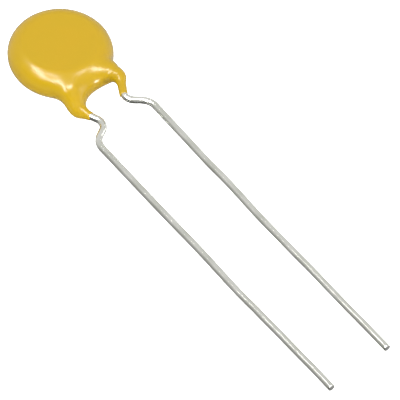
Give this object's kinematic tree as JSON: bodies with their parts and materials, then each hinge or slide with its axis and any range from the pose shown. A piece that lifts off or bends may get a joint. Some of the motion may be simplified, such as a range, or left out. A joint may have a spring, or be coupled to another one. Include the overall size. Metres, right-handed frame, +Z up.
{
  "type": "ceramic disc capacitor",
  "caption": "Small radial disc capacitor: a ceramic disc dipped in a glossy coating that runs onto kinked wire leads.",
  "frame": {"origin": "on the surface that the part lies on, under the middle of its overall box", "axes": "+Z up from that surface and out of the disc's front face, +Y along the leads towards the disc, +X across the leads towards the front one"},
  "size_m": [0.0084, 0.0436, 0.003],
  "materials": {
    "coating": "mustard yellow dipped resin, satin to glossy, slightly uneven",
    "ceramic": "fired, matt, pale tan",
    "silver": "fired silver, fine matt",
    "solder": "dull solder",
    "tinned_wire": "tin plated, bright with fine drawing marks"
  },
  "bodies": {
    "root": {"coating": "coating", "ceramic_disc": "ceramic", "front_electrode": "silver", "back_electrode": "silver", "front_solder": "solder", "back_solder": "solder", "front_lead": "tinned_wire", "back_lead": "tinned_wire"}
  },
  "joints": []
}
